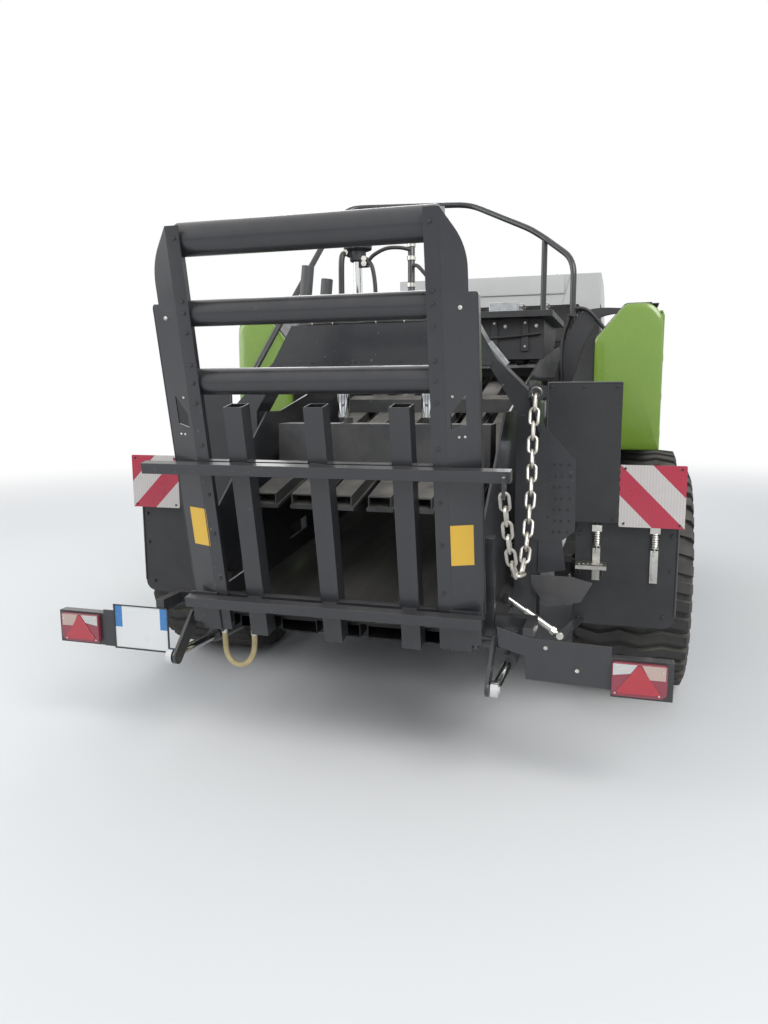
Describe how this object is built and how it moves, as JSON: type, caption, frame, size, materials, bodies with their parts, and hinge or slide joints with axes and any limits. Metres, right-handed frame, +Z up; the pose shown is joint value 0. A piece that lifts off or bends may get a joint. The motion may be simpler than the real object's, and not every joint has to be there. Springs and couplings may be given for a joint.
{
  "type": "large square baler",
  "caption": "Large square baler: inclined bale chamber with tensioned top rails, folding roller chute, needles, tined pick-up, flywheel, tandem wheels and drawbar.",
  "frame": {"origin": "middle of the machine's footprint, on the ground", "axes": "+Y towards the hitch, +X to the machine's right, +Z up"},
  "size_m": [2.97, 7.7132, 2.9014],
  "materials": {
    "frame_paint": "satin dark grey",
    "green_paint": "semi-gloss yellow-green",
    "green_plastic": "semi-gloss yellow-green",
    "light_plastic": "semi-gloss pale grey",
    "dark_plastic": "matt black",
    "chamber_steel": "worn steel",
    "bare_steel": "bright steel",
    "galvanised": "galvanised",
    "zinc": "zinc plated",
    "chrome": "polished",
    "cast_grey": "painted casting",
    "tyre": "rubber with dust",
    "rim_paint": "satin light grey",
    "lamp_red": "clear red",
    "board_red": "red and white stripes",
    "plate_white": "blank plate",
    "hose": "yellowish hose"
  },
  "bodies": {
    "machine": {"chamber_walls": "frame_paint", "chamber_floor": "chamber_steel", "chamber_roof": "frame_paint", "press_portal": "frame_paint", "centre_ram": "chrome", "axle_beam": "frame_paint", "rocker_beams": "frame_paint", "rear_guards": "dark_plastic", "warning_boards": "board_red", "spring_latches": "zinc", "lamp_arms": "frame_paint", "tail_lamps": "lamp_red", "number_plate": "plate_white", "side_bodies": "frame_paint", "side_caps": "green_paint", "side_frame": "frame_paint", "platform": "frame_paint", "knotters": "cast_grey", "railing": "frame_paint", "feed_housing": "frame_paint", "front_frame": "frame_paint", "gearbox": "cast_grey", "drawbar": "frame_paint", "hitch_eye": "bare_steel", "jack_leg": "zinc", "front_hood": "light_plastic", "hose_loop": "hose"},
    "chute": {"chute_sides": "frame_paint", "chute_grid": "frame_paint", "chain": "zinc"},
    "chute_roller_1": {"chute_roller_1": "frame_paint"},
    "chute_roller_2": {"chute_roller_2": "frame_paint"},
    "chute_roller_3": {"chute_roller_3": "frame_paint"},
    "fold_barrels": {"fold_barrels": "frame_paint"},
    "fold_rods": {"fold_rods": "chrome"},
    "top_rails": {"top_rails": "frame_paint"},
    "press_rods": {"press_rods": "chrome"},
    "plunger": {"plunger": "chamber_steel"},
    "needle_yoke": {"needle_yoke": "frame_paint", "needles": "bare_steel"},
    "feed_rotor": {"feed_rotor": "chamber_steel"},
    "flywheel": {"flywheel": "cast_grey"},
    "side_door_left": {"side_door_left": "green_plastic"},
    "side_door_right": {"side_door_right": "green_plastic"},
    "pickup": {"pickup_frame": "frame_paint", "pickup_bands": "galvanised"},
    "pickup_reel": {"pickup_reel": "frame_paint"},
    "gauge_wheel_left": {"gauge_wheel_left": "tyre"},
    "gauge_wheel_right": {"gauge_wheel_right": "tyre"},
    "wind_guard": {"wind_guard": "frame_paint"},
    "crop_roller": {"crop_roller": "frame_paint"},
    "wheel_rear_left": {"tyre_rear_left": "tyre", "rim_rear_left": "rim_paint"},
    "wheel_rear_right": {"tyre_rear_right": "tyre", "rim_rear_right": "rim_paint"},
    "wheel_front_left": {"tyre_front_left": "tyre", "rim_front_left": "rim_paint"},
    "wheel_front_right": {"tyre_front_right": "tyre", "rim_front_right": "rim_paint"}
  },
  "joints": [
    {"name": "chute_fold", "type": "hinge", "parent": "machine", "child": "chute", "pos_m": [0, -3.5, 0.61], "axis": [1, 0, 0], "range_deg": [0, 92], "deforming": ["chain"]},
    {"name": "chute_roller_1_spin", "type": "hinge", "parent": "chute", "child": "chute_roller_1", "pos_m": [0, -3.67437, 1.64054], "axis": [1, 0, 0], "continuous": true},
    {"name": "chute_roller_2_spin", "type": "hinge", "parent": "chute", "child": "chute_roller_2", "pos_m": [0, -3.72554, 1.90057], "axis": [1, 0, 0], "continuous": true},
    {"name": "chute_roller_3_spin", "type": "hinge", "parent": "chute", "child": "chute_roller_3", "pos_m": [0, -3.76388, 2.1681], "axis": [1, 0, 0], "continuous": true},
    {"name": "fold_barrels_turn", "type": "hinge", "parent": "machine", "child": "fold_barrels", "pos_m": [0, -2.75, 0.425], "axis": [1, 0, 0], "range_deg": [-3, 3]},
    {"name": "fold_rods_slide", "type": "slide", "parent": "fold_barrels", "child": "fold_rods", "axis": [0, -0.9987, 0.0515], "range_m": [-0.29, 0.001]},
    {"name": "top_rails_squeeze", "type": "hinge", "parent": "machine", "child": "top_rails", "pos_m": [0, -0.32, 1.77682], "axis": [-1, 0, 0], "range_deg": [0, 5.5]},
    {"name": "press_rods_slide", "type": "slide", "parent": "machine", "child": "press_rods", "axis": [0, 0, 1], "range_m": [0, 0.236]},
    {"name": "plunger_stroke", "type": "slide", "parent": "machine", "child": "plunger", "axis": [0, -0.9945, -0.1045], "range_m": [0, 0.7]},
    {"name": "needle_yoke_turn", "type": "hinge", "parent": "machine", "child": "needle_yoke", "pos_m": [0, -0.85, 1.66], "axis": [1, 0, 0], "range_deg": [0, 64]},
    {"name": "feed_rotor_spin", "type": "hinge", "parent": "machine", "child": "feed_rotor", "pos_m": [0, 0.85, 0.6], "axis": [1, 0, 0], "continuous": true},
    {"name": "flywheel_spin", "type": "hinge", "parent": "machine", "child": "flywheel", "pos_m": [0, 2.205, 1.22], "axis": [0, 1, 0], "continuous": true},
    {"name": "side_door_left_lift", "type": "hinge", "parent": "machine", "child": "side_door_left", "pos_m": [-1.316, 0, 2.03], "axis": [0, 1, 0], "range_deg": [0, 80]},
    {"name": "side_door_right_lift", "type": "hinge", "parent": "machine", "child": "side_door_right", "pos_m": [1.316, 0, 2.03], "axis": [0, -1, 0], "range_deg": [0, 80]},
    {"name": "pickup_lower", "type": "hinge", "parent": "machine", "child": "pickup", "pos_m": [0, 0.7, 0.75], "axis": [-1, 0, 0], "range_deg": [0, 15]},
    {"name": "pickup_reel_spin", "type": "hinge", "parent": "pickup", "child": "pickup_reel", "pos_m": [0, 1.44, 0.5], "axis": [1, 0, 0], "continuous": true},
    {"name": "gauge_wheel_left_spin", "type": "hinge", "parent": "pickup", "child": "gauge_wheel_left", "pos_m": [-1.145, 1.22, 0.325], "axis": [1, 0, 0], "continuous": true},
    {"name": "gauge_wheel_right_spin", "type": "hinge", "parent": "pickup", "child": "gauge_wheel_right", "pos_m": [1.145, 1.22, 0.325], "axis": [1, 0, 0], "continuous": true},
    {"name": "wind_guard_lift", "type": "hinge", "parent": "pickup", "child": "wind_guard", "pos_m": [0, 1.15, 0.83], "axis": [1, 0, 0], "range_deg": [0, 8]},
    {"name": "crop_roller_spin", "type": "hinge", "parent": "wind_guard", "child": "crop_roller", "pos_m": [0, 1.62, 0.85], "axis": [1, 0, 0], "continuous": true},
    {"name": "wheel_rear_left_spin", "type": "hinge", "parent": "machine", "child": "wheel_rear_left", "pos_m": [-1.2035, -2.05, 0.595], "axis": [1, 0, 0], "continuous": true},
    {"name": "wheel_rear_right_spin", "type": "hinge", "parent": "machine", "child": "wheel_rear_right", "pos_m": [1.2035, -2.05, 0.595], "axis": [1, 0, 0], "continuous": true},
    {"name": "wheel_front_left_spin", "type": "hinge", "parent": "machine", "child": "wheel_front_left", "pos_m": [-1.2035, -0.77, 0.595], "axis": [1, 0, 0], "continuous": true},
    {"name": "wheel_front_right_spin", "type": "hinge", "parent": "machine", "child": "wheel_front_right", "pos_m": [1.2035, -0.77, 0.595], "axis": [1, 0, 0], "continuous": true}
  ],
  "couplings": [
    {"joint": "fold_barrels_turn", "follows": "chute_fold", "ratio": -0.01517},
    {"joint": "fold_rods_slide", "follows": "chute_fold", "m_per_rad": -0.17885},
    {"joint": "press_rods_slide", "follows": "top_rails_squeeze", "m_per_rad": 2.43}
  ]
}
